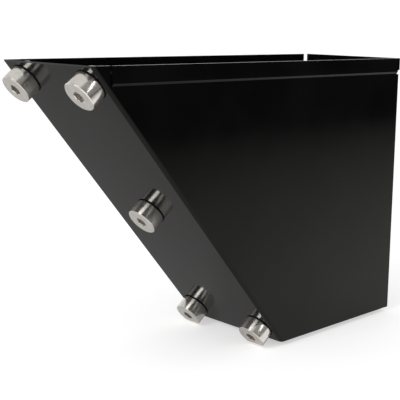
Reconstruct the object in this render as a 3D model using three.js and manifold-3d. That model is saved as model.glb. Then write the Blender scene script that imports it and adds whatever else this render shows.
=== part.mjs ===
// Open-topped battery box of bent sheet steel with one sloping end. Five screws pass through the sloping
// plate, and each has a thin black washer under its head and a washer and a thin nut inside the box.
// Millimetres, +X from the sloping plate towards the upright end wall, +Y across the box, +Z up.
// The origin is the middle of the sloping plate's outer face, which is what holds the box up.

import * as THREE from "three";
import { mergeVertices } from "three/addons/utils/BufferGeometryUtils.js";
import Module from "manifold-3d";

const wasm = await Module();
wasm.setup();

// ---- Driving dimensions ----
const BOX_HEIGHT = 170;
const BOX_LENGTH = 248; // from the sloping plate's top edge to the end wall's outer face
const BOX_WIDTH = 80; // over the side walls, below their rims
const PLATE_RUN = 139.5; // how far the sloping plate's foot lies in from its top edge
const SHEET = 1.2;
const BEND_RADIUS = 2; // outside radius of every bend
const PIECE_GAP = 0.3; // between pieces that touch on the real object

const RIM_HEIGHT = 8.9; // top strip of the walls, stepped outwards by one sheet thickness
const STEP_HEIGHT = 1; // height over which a wall steps out to its rim
const RIM_START = 12; // from the plate's top edge to the start of the side rims
const RIM_SLIT = 0.6; // slit that frees the start of a side rim
const RIM_END_CLEARANCE = 3.3; // the side rims stop this far short of the end wall's outer face
const END_RIM_WIDTH = BOX_WIDTH; // the end wall's rim reaches past the end wall, which fits between the sides

const SCREW_ROW_SPACING = 195; // along the slope
const SCREW_COLUMN_SPACING = 57; // across the box
const SHANK_DIAMETER = 8;
const SHANK_LENGTH = 9.2; // under the head
const SHANK_CHAMFER = 0.8;
const HOLE_DIAMETER = 9;
const HEAD_DIAMETER = 18;
const HEAD_HEIGHT = 8.1;
const HEAD_CHAMFER = 0.4;
const SOCKET_WIDTH = 6; // across flats
const SOCKET_DEPTH = 4.5;
const BLACK_WASHER = { outer: 18.4, thickness: 0.6 };
const INNER_WASHER = { outer: 15, thickness: 1 };
const NUT_WIDTH = 13; // across flats
const NUT_HEIGHT = 4; // a thin nut, which stays below the rim
const NUT_CHAMFER = 0.7;

const ROUND_SEGMENTS = 40;
const BEND_SEGMENTS = 6;

// ---- Values worked out from them ----
const plateLength = Math.hypot(PLATE_RUN, BOX_HEIGHT);
const slope = Math.atan2(BOX_HEIGHT, PLATE_RUN); // the plate's angle above the floor
const halfWidth = BOX_WIDTH / 2;
const stepFoot = BOX_HEIGHT - RIM_HEIGHT - STEP_HEIGHT; // where a wall starts to step out

// ---- Materials ----
const surface = (name, color, roughness, metalness) =>
  new THREE.MeshStandardMaterial({ name, color, roughness, metalness });

// ---- Solids ----
function solidOf(geometry) {
  const bare = geometry.clone();
  bare.deleteAttribute("normal");
  bare.deleteAttribute("uv");
  const merged = mergeVertices(bare, 1e-4);
  return new wasm.Manifold(
    new wasm.Mesh({
      numProp: 3,
      vertProperties: merged.getAttribute("position").array,
      triVerts: new Uint32Array(merged.index.array),
    }),
  );
}

function geometryOf(solid) {
  const mesh = solid.getMesh();
  const indexed = new THREE.BufferGeometry();
  indexed.setAttribute("position", new THREE.BufferAttribute(mesh.vertProperties, 3));
  indexed.setIndex(new THREE.BufferAttribute(mesh.triVerts, 1));
  const geometry = indexed.toNonIndexed();
  geometry.computeVertexNormals();
  return geometry;
}

function boxSolid(low, high) {
  const size = high.clone().sub(low);
  const middle = low.clone().add(high).multiplyScalar(0.5);
  const geometry = new THREE.BoxGeometry(size.x, size.y, size.z);
  return solidOf(geometry.translate(middle.x, middle.y, middle.z));
}

// A flat outline pushed along one axis. The outline's own axes lie along `right` and `up`, and the push is
// along right x up, from `start` to `end`.
function prism(shape, right, up, start, end) {
  const along = right.clone().cross(up);
  const geometry = new THREE.ExtrudeGeometry(shape, {
    depth: end - start,
    bevelEnabled: false,
    curveSegments: BEND_SEGMENTS,
  });
  geometry.translate(0, 0, start);
  return geometry.applyMatrix4(new THREE.Matrix4().makeBasis(right, up, along));
}

const axisX = new THREE.Vector3(1, 0, 0);
const axisY = new THREE.Vector3(0, 1, 0);
const axisZ = new THREE.Vector3(0, 0, 1);

// The box frame has its origin under the plate's top edge, on the underside of the floor.
const boxFrame = new THREE.Group();
boxFrame.position.set(-PLATE_RUN / 2, 0, -BOX_HEIGHT / 2);

// The plate frame lies on the plate's outer face: +X up the slope, +Y across, +Z outwards.
const plateFrame = new THREE.Group();
plateFrame.rotation.y = slope - Math.PI;

// ---- Sheet profiles ----

// Section across the plate: the plate's outer face is at 0 and the side walls run back from it.
function plateAndWallsShape(wallDepth) {
  const inner = BEND_RADIUS - SHEET;
  const flat = halfWidth - BEND_RADIUS;
  const shape = new THREE.Shape();
  shape.moveTo(halfWidth, -wallDepth);
  shape.lineTo(halfWidth, -BEND_RADIUS);
  shape.absarc(flat, -BEND_RADIUS, BEND_RADIUS, 0, Math.PI / 2, false);
  shape.absarc(-flat, -BEND_RADIUS, BEND_RADIUS, Math.PI / 2, Math.PI, false);
  shape.lineTo(-halfWidth, -wallDepth);
  shape.lineTo(-halfWidth + SHEET, -wallDepth);
  shape.absarc(-flat, -BEND_RADIUS, inner, Math.PI, Math.PI / 2, true);
  shape.absarc(flat, -BEND_RADIUS, inner, Math.PI / 2, 0, true);
  shape.lineTo(halfWidth - SHEET, -wallDepth);
  return shape;
}

// A wall's step and rim, as [distance outside the wall's outer face, height] points, outside then inside.
// `corner` is how far the inside's corners lie above the outside's, which keeps the sheet's thickness.
function rimOutline() {
  const lean = Math.atan2(SHEET, STEP_HEIGHT);
  const corner = SHEET * Math.tan(lean / 2);
  return {
    outside: [
      [0, stepFoot],
      [SHEET, stepFoot + STEP_HEIGHT],
      [SHEET, BOX_HEIGHT],
    ],
    corner,
    inside: [
      [0, BOX_HEIGHT],
      [0, stepFoot + STEP_HEIGHT + corner],
      [-SHEET, stepFoot + corner],
    ],
  };
}

// ---- Shell: the sloping plate and both side walls, bent from one sheet ----
function makeShell() {
  const wallDepth = BOX_LENGTH * Math.sin(slope) + SHEET;
  const lowestPoint = plateLength / 2 - BOX_LENGTH * Math.cos(slope) - BOX_HEIGHT * Math.sin(slope) - SHEET;
  const topCut = plateLength / 2 - SHEET / Math.tan(slope); // square to the plate, its inner edge at the rim
  const bent = prism(plateAndWallsShape(wallDepth), axisY, axisZ, lowestPoint, topCut);
  plateFrame.updateMatrix();
  boxFrame.updateMatrix();
  bent.applyMatrix4(plateFrame.matrix).applyMatrix4(boxFrame.matrix.clone().invert());

  const outside = boxSolid(
    new THREE.Vector3(-BOX_WIDTH, -BOX_WIDTH, 0),
    new THREE.Vector3(BOX_LENGTH, BOX_WIDTH, BOX_HEIGHT),
  );
  let shell = solidOf(bent).intersect(outside);

  for (const side of [-1, 1]) {
    const faces = [side * (halfWidth - 2 * SHEET), side * (halfWidth + SHEET)].sort((a, b) => a - b);
    const strip = boxSolid(
      new THREE.Vector3(RIM_START - RIM_SLIT, faces[0], stepFoot),
      new THREE.Vector3(BOX_LENGTH + SHEET, faces[1], BOX_HEIGHT + SHEET),
    );
    shell = shell.subtract(strip).add(solidOf(sideRim(side)));
  }

  for (const [along, across] of screwPlaces()) {
    const hole = new THREE.CylinderGeometry(HOLE_DIAMETER / 2, HOLE_DIAMETER / 2, 4 * SHEET, ROUND_SEGMENTS);
    hole.rotateX(Math.PI / 2).translate(along, across, 0);
    hole.applyMatrix4(plateFrame.matrix).applyMatrix4(boxFrame.matrix.clone().invert());
    shell = shell.subtract(solidOf(hole));
  }
  return geometryOf(shell);
}

// One side wall's rim. It starts one sheet thickness below the step, inside the wall.
function sideRim(side) {
  const { outside, inside } = rimOutline();
  const root = [
    [-SHEET, stepFoot - SHEET],
    [0, stepFoot - SHEET],
  ];
  const points = [...root, ...outside, ...inside].map(
    ([out, height]) => new THREE.Vector2(side * (halfWidth + out), height),
  );
  return prism(new THREE.Shape(points), axisY, axisZ, RIM_START, BOX_LENGTH - RIM_END_CLEARANCE);
}

// ---- Floor and end wall, bent from one sheet, which fits between the side walls ----
function makeFloorEndPanel() {
  const { outside, inside, corner } = rimOutline();
  const front = PLATE_RUN + (SHEET + PIECE_GAP) / Math.sin(slope); // behind the foot of the plate
  const bendX = BOX_LENGTH - BEND_RADIUS;
  const shape = new THREE.Shape();
  shape.moveTo(front, 0);
  shape.lineTo(bendX, 0);
  shape.absarc(bendX, BEND_RADIUS, BEND_RADIUS, -Math.PI / 2, 0, false);
  for (const [out, height] of [...outside, ...inside]) shape.lineTo(BOX_LENGTH + out, height);
  shape.absarc(bendX, BEND_RADIUS, BEND_RADIUS - SHEET, 0, -Math.PI / 2, true);
  shape.lineTo(front, SHEET);

  const halfPanel = halfWidth - SHEET - PIECE_GAP;
  const panel = solidOf(prism(shape, axisX, axisZ, -halfPanel, halfPanel));
  const rim = boxSolid(
    new THREE.Vector3(BOX_LENGTH, -END_RIM_WIDTH / 2, stepFoot + STEP_HEIGHT + corner),
    new THREE.Vector3(BOX_LENGTH + SHEET, END_RIM_WIDTH / 2, BOX_HEIGHT),
  );
  return geometryOf(panel.add(rim));
}

// ---- Screws, washers and nuts, each along +Z with the plate's outer face at 0 ----
function screwPlaces() {
  const row = SCREW_ROW_SPACING / 2;
  const column = SCREW_COLUMN_SPACING / 2;
  return [
    [row, -column],
    [row, column],
    [0, 0],
    [-row, -column],
    [-row, column],
  ];
}

function turned(points) {
  const profile = points.map(([radius, height]) => new THREE.Vector2(radius, height));
  return new THREE.LatheGeometry(profile, ROUND_SEGMENTS).rotateX(Math.PI / 2);
}

function hexagonalPrism(widthAcrossFlats, bottom, top) {
  const radius = widthAcrossFlats / Math.sqrt(3);
  const geometry = new THREE.CylinderGeometry(radius, radius, top - bottom, 6);
  return geometry.rotateX(Math.PI / 2).translate(0, 0, (top + bottom) / 2);
}

function tube(outer, inner, bottom, top) {
  return turned([
    [inner, bottom],
    [outer, bottom],
    [outer, top],
    [inner, top],
    [inner, bottom],
  ]);
}

const headBottom = BLACK_WASHER.thickness + 2 * PIECE_GAP;
const innerWasherTop = -SHEET - PIECE_GAP;
const nutTop = innerWasherTop - INNER_WASHER.thickness - PIECE_GAP;

function makeScrew() {
  const head = HEAD_DIAMETER / 2;
  const shank = SHANK_DIAMETER / 2;
  const headTop = headBottom + HEAD_HEIGHT;
  const tip = headBottom - SHANK_LENGTH;
  const body = turned([
    [0, tip],
    [shank - SHANK_CHAMFER, tip],
    [shank, tip + SHANK_CHAMFER],
    [shank, headBottom],
    [head, headBottom],
    [head, headTop - HEAD_CHAMFER],
    [head - HEAD_CHAMFER, headTop],
    [0, headTop],
  ]);
  const socket = hexagonalPrism(SOCKET_WIDTH, headTop - SOCKET_DEPTH, headTop + HEAD_CHAMFER);
  return geometryOf(solidOf(body).subtract(solidOf(socket)));
}

function makeBlackWasher() {
  return tube(BLACK_WASHER.outer / 2, HOLE_DIAMETER / 2, PIECE_GAP, PIECE_GAP + BLACK_WASHER.thickness);
}

function makeInnerWasher() {
  return tube(
    INNER_WASHER.outer / 2,
    HOLE_DIAMETER / 2,
    innerWasherTop - INNER_WASHER.thickness,
    innerWasherTop,
  );
}

// A hexagon whose corners are turned off by a cone at both ends, with a clear hole through it.
function makeNut() {
  const corner = NUT_WIDTH / Math.sqrt(3);
  const bore = SHANK_DIAMETER / 2 + PIECE_GAP;
  const bottom = nutTop - NUT_HEIGHT;
  const rounded = turned([
    [bore, bottom],
    [corner - NUT_CHAMFER, bottom],
    [corner, bottom + NUT_CHAMFER / 2],
    [corner, nutTop - NUT_CHAMFER / 2],
    [corner - NUT_CHAMFER, nutTop],
    [bore, nutTop],
    [bore, bottom],
  ]);
  return geometryOf(solidOf(rounded).intersect(solidOf(hexagonalPrism(NUT_WIDTH, bottom, nutTop))));
}

// ---- The assembly ----
function addPiece(group, name, geometry, material) {
  const mesh = new THREE.Mesh(geometry, material);
  mesh.name = name;
  group.add(mesh);
  return mesh;
}

const box = new THREE.Group();
box.add(boxFrame, plateFrame);

addPiece(boxFrame, "shell", makeShell(), surface("shell_paint", 0x0b0b0c, 0.18, 0));
addPiece(boxFrame, "floor_end_panel", makeFloorEndPanel(), surface("panel_paint", 0x0b0b0c, 0.18, 0));

const fasteners = [
  { name: "screw", make: makeScrew, color: 0xd0cdc8, roughness: 0.16, metalness: 1 },
  { name: "black_washer", make: makeBlackWasher, color: 0x0c0c0c, roughness: 0.6, metalness: 0 },
  { name: "inner_washer", make: makeInnerWasher, color: 0xb9b8b4, roughness: 0.3, metalness: 1 },
  { name: "nut", make: makeNut, color: 0xb9b8b4, roughness: 0.3, metalness: 1 },
];
for (const { name, make, color, roughness, metalness } of fasteners) {
  const geometry = make();
  screwPlaces().forEach(([along, across], index) => {
    const label = `${name}_${index + 1}`;
    const finish = surface(`${label}_surface`, color, roughness, metalness);
    const piece = addPiece(plateFrame, label, geometry, finish);
    piece.position.set(along, across, 0);
  });
}

export default box;
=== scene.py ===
"""Looks of an open-topped steel battery box with one sloping end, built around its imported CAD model.

Everything is in metres, in the row's frame: +X from the sloping plate to the upright end wall, +Y across
the box, +Z up, and the origin in the middle of the sloping plate's outer face.
"""

import math

import bmesh
import bpy
from mathutils import Matrix, Vector


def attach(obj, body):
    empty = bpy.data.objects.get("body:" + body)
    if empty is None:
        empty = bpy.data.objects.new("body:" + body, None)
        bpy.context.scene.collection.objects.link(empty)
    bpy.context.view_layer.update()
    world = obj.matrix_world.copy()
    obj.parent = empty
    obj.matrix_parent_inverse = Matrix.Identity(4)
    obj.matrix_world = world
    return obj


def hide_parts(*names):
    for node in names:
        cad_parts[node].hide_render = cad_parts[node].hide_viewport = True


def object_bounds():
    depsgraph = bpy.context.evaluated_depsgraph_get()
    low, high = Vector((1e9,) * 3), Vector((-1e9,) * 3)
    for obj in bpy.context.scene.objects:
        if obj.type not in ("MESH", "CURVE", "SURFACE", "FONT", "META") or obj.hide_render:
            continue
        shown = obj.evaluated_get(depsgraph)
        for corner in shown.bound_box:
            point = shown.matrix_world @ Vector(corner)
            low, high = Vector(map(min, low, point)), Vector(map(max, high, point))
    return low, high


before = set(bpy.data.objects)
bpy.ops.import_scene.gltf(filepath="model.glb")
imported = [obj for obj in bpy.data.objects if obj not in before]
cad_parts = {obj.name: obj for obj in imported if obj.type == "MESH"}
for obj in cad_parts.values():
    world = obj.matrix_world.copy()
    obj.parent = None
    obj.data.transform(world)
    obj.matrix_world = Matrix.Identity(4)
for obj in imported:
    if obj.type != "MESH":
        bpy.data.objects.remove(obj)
cad_low, cad_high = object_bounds()

MM = 0.001

# ---- The box's dimensions, as in the CAD model ----
HEIGHT = 170 * MM
LENGTH = 248 * MM
HALF_WIDTH = 40 * MM
PLATE_RUN = 139.5 * MM
SHEET = 1.2 * MM
BEND = 2 * MM  # outside radius of every bend
RIM_HEIGHT = 8.9 * MM
STEP_HEIGHT = 1 * MM
STEP_FOOT = HEIGHT - RIM_HEIGHT - STEP_HEIGHT
RIM_START = 12 * MM
RIM_SLIT = 0.6 * MM
RIM_END_CLEARANCE = 3.3 * MM
HOLE_RADIUS = 4.5 * MM
ROW = 195 * MM / 2  # half the spacing of the screws up the plate
COLUMN = 57 * MM / 2  # half their spacing across it

plate_length = math.hypot(PLATE_RUN, HEIGHT)
slope = math.atan2(HEIGHT, PLATE_RUN)

# The box frame starts under the plate's top edge, on the floor's underside. The plate frame lies on the
# plate's outer face: +X up the slope, +Y across, +Z outwards.
BOX_FRAME = Matrix.Translation((-PLATE_RUN / 2, 0, -HEIGHT / 2))
PLATE_FRAME = Matrix.Rotation(slope - math.pi, 4, "Y")
SCREW_PLACES = [(ROW, -COLUMN), (ROW, COLUMN), (0, 0), (-ROW, -COLUMN), (-ROW, COLUMN)]


# ---- Mesh helpers ----
def new_object(name, bm):
    mesh = bpy.data.meshes.new(name)
    bmesh.ops.recalc_face_normals(bm, faces=bm.faces)
    bm.to_mesh(mesh)
    bm.free()
    piece = bpy.data.objects.new(name, mesh)
    bpy.context.scene.collection.objects.link(piece)
    return piece


def arc(cx, cy, radius, start, end, steps):
    """Points on an arc, with its angles in degrees."""
    points = []
    for i in range(steps + 1):
        a = math.radians(start + (end - start) * i / steps)
        points.append((cx + radius * math.cos(a), cy + radius * math.sin(a)))
    return points


def prism(name, outline, right, up, start, end):
    """A closed outline pushed from start to end along right x up."""
    right, up = Vector(right), Vector(up)
    along = right.cross(up)
    bm = bmesh.new()
    rings = []
    for distance in (start, end):
        rings.append([bm.verts.new(right * a + up * b + along * distance) for a, b in outline])
    bm.faces.new(rings[0])
    bm.faces.new(rings[1])
    count = len(outline)
    for i in range(count):
        j = (i + 1) % count
        bm.faces.new((rings[0][i], rings[0][j], rings[1][j], rings[1][i]))
    return new_object(name, bm)


def box_object(name, low, high):
    bm = bmesh.new()
    bmesh.ops.create_cube(bm, size=1)
    size = [h - l for l, h in zip(low, high)]
    middle = [(h + l) / 2 for l, h in zip(low, high)]
    bmesh.ops.scale(bm, vec=size, verts=bm.verts)
    bmesh.ops.translate(bm, vec=middle, verts=bm.verts)
    return new_object(name, bm)


def lathe(name, profile, segments=96):
    """A profile of (radius, height) points turned round Z. A radius of 0 makes a pole."""
    bm = bmesh.new()
    rings = []
    for radius, height in profile:
        if radius < 1e-9:
            rings.append([bm.verts.new((0, 0, height))] * segments)
            continue
        ring = []
        for i in range(segments):
            a = 2 * math.pi * i / segments
            ring.append(bm.verts.new((radius * math.cos(a), radius * math.sin(a), height)))
        rings.append(ring)
    closed = profile[0] != profile[-1] and profile[0][0] > 1e-9
    pairs = list(zip(rings, rings[1:])) + ([(rings[-1], rings[0])] if closed else [])
    for lower, upper in pairs:
        for i in range(segments):
            j = (i + 1) % segments
            corners = []
            for v in (lower[i], lower[j], upper[j], upper[i]):
                if v not in corners:
                    corners.append(v)
            if len(corners) > 2:
                bm.faces.new(corners)
    return new_object(name, bm)


def bake(piece):
    """Applies the piece's modifiers to its mesh."""
    graph = bpy.context.evaluated_depsgraph_get()
    mesh = bpy.data.meshes.new_from_object(piece.evaluated_get(graph))
    piece.modifiers.clear()
    piece.data = mesh


def combine(piece, tool, operation):
    modifier = piece.modifiers.new("combine", "BOOLEAN")
    modifier.operation, modifier.solver, modifier.object = operation, "EXACT", tool
    bpy.context.view_layer.update()
    bake(piece)
    bpy.data.objects.remove(tool)


def tidy(piece):
    """Merges doubled points and the flat faces that a boolean leaves split."""
    bm = bmesh.new()
    bm.from_mesh(piece.data)
    bmesh.ops.remove_doubles(bm, verts=bm.verts, dist=0.002 * MM)
    bmesh.ops.dissolve_limit(bm, angle_limit=math.radians(0.5), verts=bm.verts, edges=bm.edges)
    bm.to_mesh(piece.data)
    bm.free()


def soften(piece, width, angle=35, segments=3):
    """Rounds the sharp edges, and keeps the flat faces' shading flat."""
    bevel = piece.modifiers.new("edges", "BEVEL")
    bevel.width, bevel.segments = width, segments
    bevel.limit_method, bevel.angle_limit = "ANGLE", math.radians(angle)
    bevel.miter_outer = "MITER_ARC"
    bevel.use_clamp_overlap = True
    bpy.context.view_layer.update()
    bake(piece)
    piece.data.shade_smooth()
    normals = piece.modifiers.new("normals", "WEIGHTED_NORMAL")
    normals.mode, normals.weight, normals.keep_sharp = "FACE_AREA", 100, True


# ---- Sheet metal ----
def step_outline():
    """The step and rim of a wall, as (distance outside the wall's outer face, height) points."""
    lean = math.atan2(SHEET, STEP_HEIGHT)
    hollow, crown = 0.3 * MM, 0.5 * MM  # radii of the pressed step's corners
    steps = 6

    def rounded(x, z, radius, turn):
        """A corner as an arc: turn is 1 where an upright line starts to lean out, and -1 where it ends."""
        centre_x, centre_z = x + turn * radius, z - turn * radius * math.tan(lean / 2)
        points = []
        for i in range(steps + 1):
            a = lean * i / steps
            points.append((centre_x - turn * radius * math.cos(a), centre_z + turn * radius * math.sin(a)))
        return points[::turn]

    corner = SHEET * math.tan(lean / 2)
    low, high = STEP_FOOT, STEP_FOOT + STEP_HEIGHT
    outside = rounded(0, low, hollow, 1) + rounded(SHEET, high, crown, -1)
    inside = rounded(-SHEET, low + corner, crown, 1) + rounded(0, high + corner, hollow, -1)
    return outside + [(SHEET, HEIGHT)], [(0, HEIGHT)] + inside[::-1]


def make_shell():
    flat, inner = HALF_WIDTH - BEND, BEND - SHEET
    depth = LENGTH * math.sin(slope) + SHEET
    outline = [(HALF_WIDTH, -depth)]
    outline += arc(flat, -BEND, BEND, 0, 90, 12) + arc(-flat, -BEND, BEND, 90, 180, 12)
    outline += [(-HALF_WIDTH, -depth), (-HALF_WIDTH + SHEET, -depth)]
    outline += arc(-flat, -BEND, inner, 180, 90, 8) + arc(flat, -BEND, inner, 90, 0, 8)
    outline += [(HALF_WIDTH - SHEET, -depth)]
    lowest = plate_length / 2 - LENGTH * math.cos(slope) - HEIGHT * math.sin(slope) - SHEET
    top_cut = plate_length / 2 - SHEET / math.tan(slope)
    shell = prism("shell_sheet", outline, (0, 1, 0), (0, 0, 1), lowest, top_cut)
    shell.data.transform(BOX_FRAME.inverted() @ PLATE_FRAME)
    outside = box_object("outside", (-2 * HALF_WIDTH, -2 * HALF_WIDTH, 0), (LENGTH, 2 * HALF_WIDTH, HEIGHT))
    combine(shell, outside, "INTERSECT")

    # The plain top of each side wall is cut away behind the slit, and the stepped rim is put in its place.
    outer, inner_side = step_outline()
    wall_top = [(-SHEET, STEP_FOOT - SHEET), (0, STEP_FOOT - SHEET)]
    for side in (-1, 1):
        faces = sorted((side * (HALF_WIDTH - 2 * SHEET), side * (HALF_WIDTH + SHEET)))
        low = (RIM_START - RIM_SLIT, faces[0], STEP_FOOT - 0.5 * MM)
        strip = box_object("strip", low, (LENGTH + SHEET, faces[1], HEIGHT + SHEET))
        combine(shell, strip, "DIFFERENCE")
        points = [(side * (HALF_WIDTH + out), z) for out, z in wall_top + outer + inner_side]
        rim = prism("rim", points, (0, 1, 0), (0, 0, 1), RIM_START, LENGTH - RIM_END_CLEARANCE)
        combine(shell, rim, "UNION")

    reach = 4 * MM
    for along, across in SCREW_PLACES:
        hole = lathe("hole", [(0, -reach), (HOLE_RADIUS, -reach), (HOLE_RADIUS, reach), (0, reach)], 48)
        place = PLATE_FRAME @ Matrix.Translation((along, across, 0))
        hole.data.transform(BOX_FRAME.inverted() @ place)
        combine(shell, hole, "DIFFERENCE")
    tidy(shell)
    shell.data.transform(BOX_FRAME)
    soften(shell, 0.22 * MM)
    return shell


def make_floor_end_panel():
    outer, inner_side = step_outline()
    seam = 0.05 * MM  # between the floor's front edge and the plate
    side_seam = 0.03 * MM
    front = PLATE_RUN + (SHEET + seam) / math.sin(slope)
    bend_x = LENGTH - BEND
    outline = [(front, 0)] + arc(bend_x, BEND, BEND, -90, 0, 12)
    outline += [(LENGTH + out, z) for out, z in outer + inner_side]
    outline += arc(bend_x, BEND, BEND - SHEET, 0, -90, 8) + [(front, SHEET)]
    half = HALF_WIDTH - SHEET - side_seam
    panel = prism("floor_end_sheet", outline, (1, 0, 0), (0, 0, 1), -half, half)
    rim_foot = STEP_FOOT + STEP_HEIGHT + 1.1 * MM  # just above the step's inner corner
    rim = box_object("end_rim", (LENGTH, -HALF_WIDTH, rim_foot), (LENGTH + SHEET, HALF_WIDTH, HEIGHT))
    combine(panel, rim, "UNION")
    tidy(panel)
    panel.data.transform(BOX_FRAME)
    soften(panel, 0.2 * MM)
    return panel


def make_weld(name, start, end, side_a, side_b):
    """A fillet weld along start to end, lying against two faces whose directions are side_a and side_b."""
    leg, pitch = 1.7 * MM, 1.15 * MM  # of the bead's side and its ripples
    start, end, a, b = Vector(start), Vector(end), Vector(side_a), Vector(side_b)
    length = (end - start).length
    along = (end - start).normalized()
    steps, across = max(24, round(length / pitch * 5)), 8
    bm = bmesh.new()
    rings = []
    for i in range(steps + 1):
        s = length * i / steps
        ripple = abs(math.sin(math.pi * s / pitch))
        taper = min(1.0, math.sqrt(max(0.0, min(s, length - s) / (1.4 * MM))))
        size = leg * (0.25 + 0.75 * taper) * (0.95 + 0.05 * math.sin(s / (5 * MM)))
        lean = along * (0.35 * pitch)
        ring = [bm.verts.new(start + along * s)]
        for k in range(across + 1):
            t = k / across
            bow = math.sin(math.pi * t)
            p = a * (size * (1 - t)) + b * (size * t)
            p += (a + b).normalized() * bow * size * (0.10 + 0.07 * ripple)
            ring.append(bm.verts.new(start + along * s + p + lean * bow * (2 * taper - 1)))
        rings.append(ring)
    count = across + 2
    for lower, upper in zip(rings, rings[1:]):
        for k in range(count):
            bm.faces.new((lower[k], lower[(k + 1) % count], upper[(k + 1) % count], upper[k]))
    bm.faces.new(rings[0])
    bm.faces.new(rings[-1])
    piece = new_object(name, bm)
    piece.data.transform(BOX_FRAME)
    piece.data.shade_smooth()
    piece.data.set_sharp_from_angle(angle=math.radians(50))
    return piece


def make_welds():
    """Short fillets inside the box, where the floor and end wall meet the side walls and the plate."""
    welds = []
    wall, floor_top, end_face = HALF_WIDTH - SHEET, SHEET, LENGTH - SHEET
    foot = PLATE_RUN + SHEET / math.sin(slope) - SHEET / math.tan(slope)
    bead = 16 * MM
    for side, label in ((-1, "near"), (1, "far")):
        for k, x in enumerate((152 * MM, 186 * MM, 220 * MM)):
            start = (x, side * wall, floor_top)
            end = (x + bead, side * wall, floor_top)
            welds.append(make_weld(f"weld_floor_{label}_{k + 1}", start, end, (0, -side, 0), (0, 0, 1)))
        for k, z in enumerate((14 * MM, 56 * MM, 98 * MM, 138 * MM)):
            start = (end_face, side * wall, z)
            end = (end_face, side * wall, z + bead)
            welds.append(make_weld(f"weld_end_{label}_{k + 1}", start, end, (0, -side, 0), (-1, 0, 0)))
    up_plate = (-math.cos(slope), 0, math.sin(slope))
    for k, y in enumerate((-31 * MM, -8 * MM, 15 * MM)):
        start, end = (foot, y, floor_top), (foot, y + bead, floor_top)
        welds.append(make_weld(f"weld_foot_{k + 1}", start, end, (1, 0, 0), up_plate))
    return welds


# ---- Screws, washers and nuts, along +Z with the plate's outer face at 0 ----
HEAD_BOTTOM, HEAD_TOP, HEAD_RADIUS = 0.5 * MM, 9.3 * MM, 8.98 * MM
SOCKET_WIDTH, SOCKET_DEPTH, DRILL_RADIUS = 6 * MM, 4.5 * MM, 2.8 * MM
SHANK_RADIUS, TIP, THREAD_PITCH = 4 * MM, -8 * MM, 1.25 * MM
DARK_WASHER_RADIUS, PLAIN_WASHER_RADIUS, PLAIN_WASHER_BORE = 9.2 * MM, 7.5 * MM, 4.25 * MM
NUT_WIDTH, NUT_TOP, NUT_BOTTOM = 13 * MM, -2.3 * MM, -6.8 * MM


def hexagon(width):
    return arc(0, 0, width / math.sqrt(3), 0, 300, 5)


def make_screw():
    chamfer, blend = 0.4 * MM, 0.18 * MM
    profile = [(0, HEAD_BOTTOM), (HEAD_RADIUS - blend, HEAD_BOTTOM)]
    profile += arc(HEAD_RADIUS - blend, HEAD_BOTTOM + blend, blend, -90, 0, 5)[1:]
    profile += arc(HEAD_RADIUS - blend, HEAD_TOP - chamfer - 0.05 * MM, blend, 0, 45, 3)
    profile += arc(HEAD_RADIUS - chamfer - blend, HEAD_TOP - blend, blend, 45, 90, 4)
    profile += [(0, HEAD_TOP)]
    screw = lathe("screw_head", profile, 128)
    socket_floor = HEAD_TOP - SOCKET_DEPTH
    socket = prism("hex", hexagon(SOCKET_WIDTH), (1, 0, 0), (0, 1, 0), socket_floor, HEAD_TOP + MM)
    combine(screw, socket, "DIFFERENCE")
    corner = SOCKET_WIDTH / math.sqrt(3)
    mouth = [(0, HEAD_TOP - 0.3 * MM), (corner - 0.35 * MM, HEAD_TOP - 0.3 * MM),
             (corner + 0.05 * MM, HEAD_TOP + 0.1 * MM), (0, HEAD_TOP + 0.1 * MM)]
    combine(screw, lathe("mouth", mouth, 64), "DIFFERENCE")
    drill = [(0, socket_floor - 1.1 * MM), (DRILL_RADIUS, socket_floor + 0.01 * MM),
             (DRILL_RADIUS, socket_floor + 0.4 * MM), (0, socket_floor + 0.4 * MM)]
    combine(screw, lathe("drill", drill, 48), "DIFFERENCE")
    tidy(screw)
    screw.data.shade_smooth()
    screw.data.set_sharp_from_angle(angle=math.radians(28))
    return screw


def make_thread():
    """The threaded shank: one closed surface whose radius follows the helix."""
    segments, rows = 64, 112
    bm = bmesh.new()
    rings = []
    depth = 0.61 * THREAD_PITCH
    crest = 0.125  # the flat part of each crest and root, as a share of half the pitch
    top = HEAD_BOTTOM + 0.2 * MM
    for j in range(rows + 1):
        z = TIP + (top - TIP) * j / rows
        ring = []
        for i in range(segments):
            a = 2 * math.pi * i / segments
            phase = (z / THREAD_PITCH - i / segments) % 1
            groove = max(0.0, min(1.0, (abs(2 * phase - 1) - crest) / (1 - 2 * crest)))
            fade = min(1.0, max(0.0, (-0.6 * MM - z) / (0.5 * MM)))  # plain under the head
            radius = SHANK_RADIUS - depth * groove * fade
            radius = min(radius, SHANK_RADIUS - 0.75 * MM + (z - TIP))  # tapered tip
            ring.append(bm.verts.new((radius * math.cos(a), radius * math.sin(a), z)))
        rings.append(ring)
    for lower, upper in zip(rings, rings[1:]):
        for i in range(segments):
            j = (i + 1) % segments
            bm.faces.new((lower[i], lower[j], upper[j], upper[i]))
    bm.faces.new(rings[0])
    bm.faces.new(rings[-1])
    shank = new_object("screw_shank", bm)
    shank.data.shade_smooth()
    shank.data.set_sharp_from_angle(angle=math.radians(45))
    return shank


def make_ring(outer, inner, bottom, top):
    """A flat washer with rounded edges."""
    edge = 0.15 * MM
    profile = []
    for x, z, start in ((inner + edge, bottom + edge, 180), (outer - edge, bottom + edge, 270),
                        (outer - edge, top - edge, 0), (inner + edge, top - edge, 90)):
        profile += arc(x, z, edge, start, start + 90, 4)
    ring = lathe("washer", profile, 96)
    ring.data.shade_smooth()
    ring.data.set_sharp_from_angle(angle=math.radians(40))
    return ring


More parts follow.
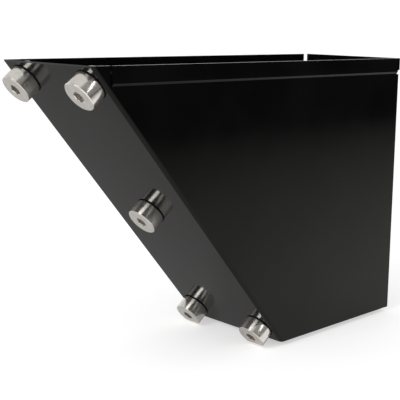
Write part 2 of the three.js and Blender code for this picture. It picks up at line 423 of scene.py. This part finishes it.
def make_nut():
    """A hex nut with both its faces chamfered to a circle, and both ends of its bore."""
    top, bottom, face = NUT_TOP, NUT_BOTTOM, NUT_WIDTH / 2 - 0.1 * MM
    corner = NUT_WIDTH / math.sqrt(3)
    drop = (corner - face) * math.tan(math.radians(30))
    nut = prism("nut", [(y, x) for x, y in hexagon(NUT_WIDTH)], (1, 0, 0), (0, 1, 0), bottom, top)
    reach = corner + 0.01 * MM
    cone = [(0, bottom), (face, bottom), (reach, bottom + drop), (reach, top - drop), (face, top), (0, top)]
    combine(nut, lathe("cone", cone, 96), "INTERSECT")
    bore = [(0, bottom - MM), (4.9 * MM, bottom - 0.1 * MM), (4.05 * MM, bottom + 0.75 * MM),
            (4.05 * MM, top - 0.75 * MM), (4.9 * MM, top + 0.1 * MM), (0, top + MM)]
    combine(nut, lathe("bore", bore, 64), "DIFFERENCE")
    tidy(nut)
    soften(nut, 0.1 * MM, angle=28, segments=2)
    return nut


# ---- Materials ----
def material(name, color, roughness, metallic=0.0):
    made = bpy.data.materials.new(name)
    made.use_nodes = True
    made.diffuse_color = (*color, 1)
    shader = made.node_tree.nodes["Principled BSDF"]
    shader.inputs["Base Color"].default_value = (*color, 1)
    shader.inputs["Roughness"].default_value = roughness
    shader.inputs["Metallic"].default_value = metallic
    return made, shader


def noise(made, source, scale, detail=3.0):
    node = made.node_tree.nodes.new("ShaderNodeTexNoise")
    node.inputs["Scale"].default_value = scale
    node.inputs["Detail"].default_value = detail
    made.node_tree.links.new(source, node.inputs["Vector"])
    return node.outputs["Fac"]


def spread(made, source, low, high, from_low=0.3, from_high=0.7):
    node = made.node_tree.nodes.new("ShaderNodeMapRange")
    for socket, value in (("From Min", from_low), ("From Max", from_high), ("To Min", low), ("To Max", high)):
        node.inputs[socket].default_value = value
    made.node_tree.links.new(source, node.inputs["Value"])
    return node.outputs["Result"]


def shades(made, source, dark, light):
    node = made.node_tree.nodes.new("ShaderNodeValToRGB")
    first, last = node.color_ramp.elements
    first.position, first.color = 0.32, (*dark, 1)
    last.position, last.color = 0.68, (*light, 1)
    made.node_tree.links.new(source, node.inputs["Fac"])
    return node.outputs["Color"]


def bump(made, source, distance, below=None):
    node = made.node_tree.nodes.new("ShaderNodeBump")
    node.inputs["Strength"].default_value = 1.0
    node.inputs["Distance"].default_value = distance
    made.node_tree.links.new(source, node.inputs["Height"])
    if below is not None:
        made.node_tree.links.new(below, node.inputs["Normal"])
    return node.outputs["Normal"]


def object_place(made):
    return made.node_tree.nodes.new("ShaderNodeTexCoord").outputs["Object"]


def local_place(made):
    """A fastener's own coordinates, with its axis along Z, which its mesh keeps in an attribute."""
    node = made.node_tree.nodes.new("ShaderNodeAttribute")
    node.attribute_name = "local"
    return node.outputs["Vector"]


def gloss_paint():
    """Gloss black stoved paint: faint orange peel, a few dust nibs and slightly uneven gloss."""
    made, shader = material("gloss_black_paint", (0.0022, 0.0022, 0.0023), 0.07)
    link = made.node_tree.links.new
    place = object_place(made)
    shader.inputs["Specular IOR Level"].default_value = 0.16
    shader.inputs["Specular Tint"].default_value = (1.0, 1.0, 0.9, 1)
    link(shades(made, noise(made, place, 22), (0.0016, 0.0016, 0.0017), (0.0032, 0.0031, 0.0031)),
         shader.inputs["Base Color"])
    link(spread(made, noise(made, place, 35, 5), 0.05, 0.105), shader.inputs["Roughness"])
    peel = bump(made, noise(made, place, 420, 1), 0.0000035)
    nibs = spread(made, noise(made, place, 1500, 0), 0, 1, 0.76, 0.84)
    link(bump(made, nibs, 0.000006, peel), shader.inputs["Normal"])
    return made


def turned_steel():
    """Bright steel turned on a lathe: rings on the head's face and lines round its side."""
    made, shader = material("polished_steel", (0.70, 0.68, 0.65), 0.2, 0.93)
    link, nodes = made.node_tree.links.new, made.node_tree.nodes
    place = local_place(made)
    split = nodes.new("ShaderNodeSeparateXYZ")
    link(place, split.inputs["Vector"])
    flat = nodes.new("ShaderNodeCombineXYZ")
    link(split.outputs["X"], flat.inputs["X"])
    link(split.outputs["Y"], flat.inputs["Y"])
    radius = nodes.new("ShaderNodeVectorMath")
    radius.operation = "LENGTH"
    link(flat.outputs["Vector"], radius.inputs[0])
    rings = nodes.new("ShaderNodeCombineXYZ")
    link(radius.outputs["Value"], rings.inputs["X"])
    link(split.outputs["Z"], rings.inputs["Y"])
    lines = noise(made, rings.outputs["Vector"], 5200, 2)
    link(bump(made, lines, 0.0000035), shader.inputs["Normal"])
    link(spread(made, noise(made, rings.outputs["Vector"], 1700, 2), 0.13, 0.27), shader.inputs["Roughness"])
    link(shades(made, noise(made, place, 300), (0.69, 0.655, 0.605), (0.78, 0.745, 0.695)),
         shader.inputs["Base Color"])
    return made


def plated_steel():
    """Zinc-plated steel for the threads, and the washers and nuts inside the box."""
    made, shader = material("plain_steel", (0.55, 0.55, 0.53), 0.34, 1.0)
    link = made.node_tree.links.new
    place = local_place(made)
    link(shades(made, noise(made, place, 420, 4), (0.44, 0.44, 0.43), (0.62, 0.61, 0.58)),
         shader.inputs["Base Color"])
    link(spread(made, noise(made, place, 900, 4), 0.26, 0.46), shader.inputs["Roughness"])
    link(bump(made, noise(made, place, 2400, 2), 0.000004), shader.inputs["Normal"])
    return made


def black_rubber():
    """Dull black rubber for the washers under the heads."""
    made, shader = material("black_rubber", (0.005, 0.005, 0.005), 0.6)
    shader.inputs["Specular IOR Level"].default_value = 0.12
    link = made.node_tree.links.new
    place = local_place(made)
    link(shades(made, noise(made, place, 700), (0.003, 0.003, 0.003), (0.008, 0.008, 0.008)),
         shader.inputs["Base Color"])
    link(spread(made, noise(made, place, 1200, 4), 0.45, 0.68), shader.inputs["Roughness"])
    link(bump(made, noise(made, place, 5000, 2), 0.000008), shader.inputs["Normal"])
    return made


def finish_piece(piece, made, slot, *nodes):
    piece.data.materials.clear()
    piece.data.materials.append(made)
    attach(piece, "root")
    if nodes:
        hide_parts(*nodes)


paint, bright, plain, rubber = gloss_paint(), turned_steel(), plated_steel(), black_rubber()
finish_piece(make_shell(), paint, "gloss_black_paint", "shell")
finish_piece(make_floor_end_panel(), paint, "gloss_black_paint", "floor_end_panel")
for weld in make_welds():
    finish_piece(weld, paint, "gloss_black_paint")

dark_washer = make_ring(DARK_WASHER_RADIUS, HOLE_RADIUS, 0, HEAD_BOTTOM)
plain_washer = make_ring(PLAIN_WASHER_RADIUS, PLAIN_WASHER_BORE, NUT_TOP, -SHEET)
FASTENERS = [
    (make_screw(), "screw_head", bright, "polished_steel", "screw"),
    (make_thread(), "screw_thread", plain, "polished_steel", None),
    (dark_washer, "dark_washer", rubber, "black_rubber", "black_washer"),
    (plain_washer, "plain_washer", plain, "plain_steel", "inner_washer"),
    (make_nut(), "thin_nut", plain, "plain_steel", "nut"),
]
TURNS = (7, 31, 50, 18, 41)  # each screw stopped at its own angle, in degrees
for first, name, made, slot, node in FASTENERS:
    local = first.data.attributes.new("local", "FLOAT_VECTOR", "POINT")
    local.data.foreach_set("vector", [c for v in first.data.vertices for c in v.co])
    for index, (along, across) in enumerate(SCREW_PLACES):
        piece = bpy.data.objects.new(f"{name}_{index + 1}", first.data.copy())
        bpy.context.scene.collection.objects.link(piece)
        turn = math.radians(TURNS[index]) if slot == "polished_steel" else 0
        place = PLATE_FRAME @ Matrix.Translation((along, across, 0)) @ Matrix.Rotation(turn, 4, "Z")
        piece.data.transform(place)
        if node == "nut":
            normals = piece.modifiers.new("normals", "WEIGHTED_NORMAL")
            normals.weight, normals.keep_sharp = 100, True
        finish_piece(piece, made, slot, *([f"{node}_{index + 1}"] if node else []))
    bpy.data.objects.remove(first)


# ---- Stage ----
def pale_floor():
    """A matt pale floor that gives off a little light itself, which keeps the box's shadow faint."""
    made, shader = material("pale_floor", (0.66, 0.66, 0.66), 0.7)
    shader.inputs["Specular IOR Level"].default_value = 0.1
    shader.inputs["Emission Color"].default_value = (1, 1, 1, 1)
    shader.inputs["Emission Strength"].default_value = 0.5
    return made


def panel_object(name, width, depth, place, made):
    bm = bmesh.new()
    bmesh.ops.create_grid(bm, x_segments=1, y_segments=1, size=0.5)
    bmesh.ops.scale(bm, vec=(width, depth, 1), verts=bm.verts)
    panel = new_object(name, bm)
    panel.matrix_world = place
    panel.data.materials.append(made)
    return panel


def reflection_card(name, width, depth, place, near, far, fade=None):
    """A black card that only reflections see. It covers a share `near` of what is behind it, rising to `far`
    across the card's own Y from fade[0] to fade[1], in metres."""
    made = bpy.data.materials.new(name)
    made.use_nodes = True
    nodes, link = made.node_tree.nodes, made.node_tree.links.new
    nodes.clear()
    split, ramp = nodes.new("ShaderNodeSeparateXYZ"), nodes.new("ShaderNodeMapRange")
    link(nodes.new("ShaderNodeTexCoord").outputs["Object"], split.inputs["Vector"])
    begin, end = fade or (-depth, depth)
    for socket, value in (("From Min", begin), ("From Max", end), ("To Min", near), ("To Max", far)):
        ramp.inputs[socket].default_value = value
    link(split.outputs["Y"], ramp.inputs["Value"])
    clear, black, mix = (nodes.new(f"ShaderNode{n}") for n in ("BsdfTransparent", "BsdfDiffuse", "MixShader"))
    black.inputs["Color"].default_value = (0.01, 0.01, 0.01, 1)
    link(ramp.outputs["Result"], mix.inputs["Fac"])
    link(clear.outputs[0], mix.inputs[1])
    link(black.outputs[0], mix.inputs[2])
    link(mix.outputs[0], nodes.new("ShaderNodeOutputMaterial").inputs["Surface"])
    card = panel_object(name, width, depth, place, made)
    card.visible_camera = card.visible_shadow = card.visible_diffuse = False


def flat_at(x, y, height, turn=0):
    return Matrix.Translation((x, y, height)) @ Matrix.Rotation(math.radians(turn), 4, "Z")


def upright_at(x, y, height, turn):
    return flat_at(x, y, height, turn) @ Matrix.Rotation(math.radians(90), 4, "X")


panel_object("floor", 12, 12, flat_at(0, 0, cad_low.z), pale_floor())

# The studio round the box is dark on the camera's side and to the left, which only reflections show.
above_floor = cad_low.z + 2 * MM
reflection_card("front_falloff", 9, 9, flat_at(0, -4.6, above_floor, 180), 0.0, 0.97, (-4.5, -3.75))
# The grey card behind the box is painted shade on the floor behind and under the plate, and only the plate's
# reflection shows it.
reflection_card("back_floor_shade", 1.6, 1.28, flat_at(0, 0.602, above_floor), 0.48, 0.56, (-0.6, 0.4))
reflection_card("front_surround", 8, 4, upright_at(0, -2.2, 1.91, 0), 0.82, 0.6, (-1, 1))
reflection_card("left_surround", 5, 1.9, upright_at(-2.2, 0, 0.86, 90), 0.95, 0.95)


def softbox(name, place, width, height, power):
    """A soft rectangular light aimed at the middle of the sloping plate."""
    light = bpy.data.lights.new(name, "AREA")
    light.shape, light.size, light.size_y, light.energy = "RECTANGLE", width, height, power
    lamp = bpy.data.objects.new(name, light)
    lamp.location = place
    lamp.rotation_euler = (-Vector(place)).to_track_quat("-Z", "Y").to_euler()
    lamp.visible_camera = False
    bpy.context.scene.collection.objects.link(lamp)


softbox("left_softbox", (-1.12, -0.1, 0.64), 0.55, 0.45, 6.6)
softbox("camera_softbox", (-0.86, -0.85, 0.24), 0.5, 0.25, 1.0)
softbox("front_softbox", (0.2, -1.3, 0.78), 0.12, 0.5, 0.9)

# The studio is white at the height of the box and greyer overhead.
world = bpy.data.worlds.new("studio")
world.use_nodes = True
sky, connect = world.node_tree.nodes, world.node_tree.links.new
height, overhead = sky.new("ShaderNodeSeparateXYZ"), sky.new("ShaderNodeMapRange")
connect(sky.new("ShaderNodeTexCoord").outputs["Generated"], height.inputs["Vector"])
for socket, value in (("From Min", 0.15), ("From Max", 0.5), ("To Min", 1.08), ("To Max", 0.72)):
    overhead.inputs[socket].default_value = value
connect(height.outputs["Z"], overhead.inputs["Value"])
sky["Background"].inputs["Color"].default_value = (1, 1, 1, 1)
connect(overhead.outputs["Result"], sky["Background"].inputs["Strength"])
world.cycles.sampling_method = "NONE"
bpy.context.scene.world = world

# The camera, with a small shift because the box sits off the middle of its frame.
camera_data = bpy.data.cameras.new("camera")
camera_data.lens, camera_data.sensor_width = 83.3, 36
camera_data.shift_x, camera_data.shift_y = -0.09, -0.025
camera = bpy.data.objects.new("camera", camera_data)
camera.location = (-0.33207, -0.39979, 0.10689)
camera.rotation_euler = [math.radians(a) for a in (79.6855, -0.975, -44.8696)]
bpy.context.scene.collection.objects.link(camera)
bpy.context.scene.camera = camera

bpy.context.scene.view_settings.view_transform = "Standard"
bpy.context.scene.view_settings.look = "None"
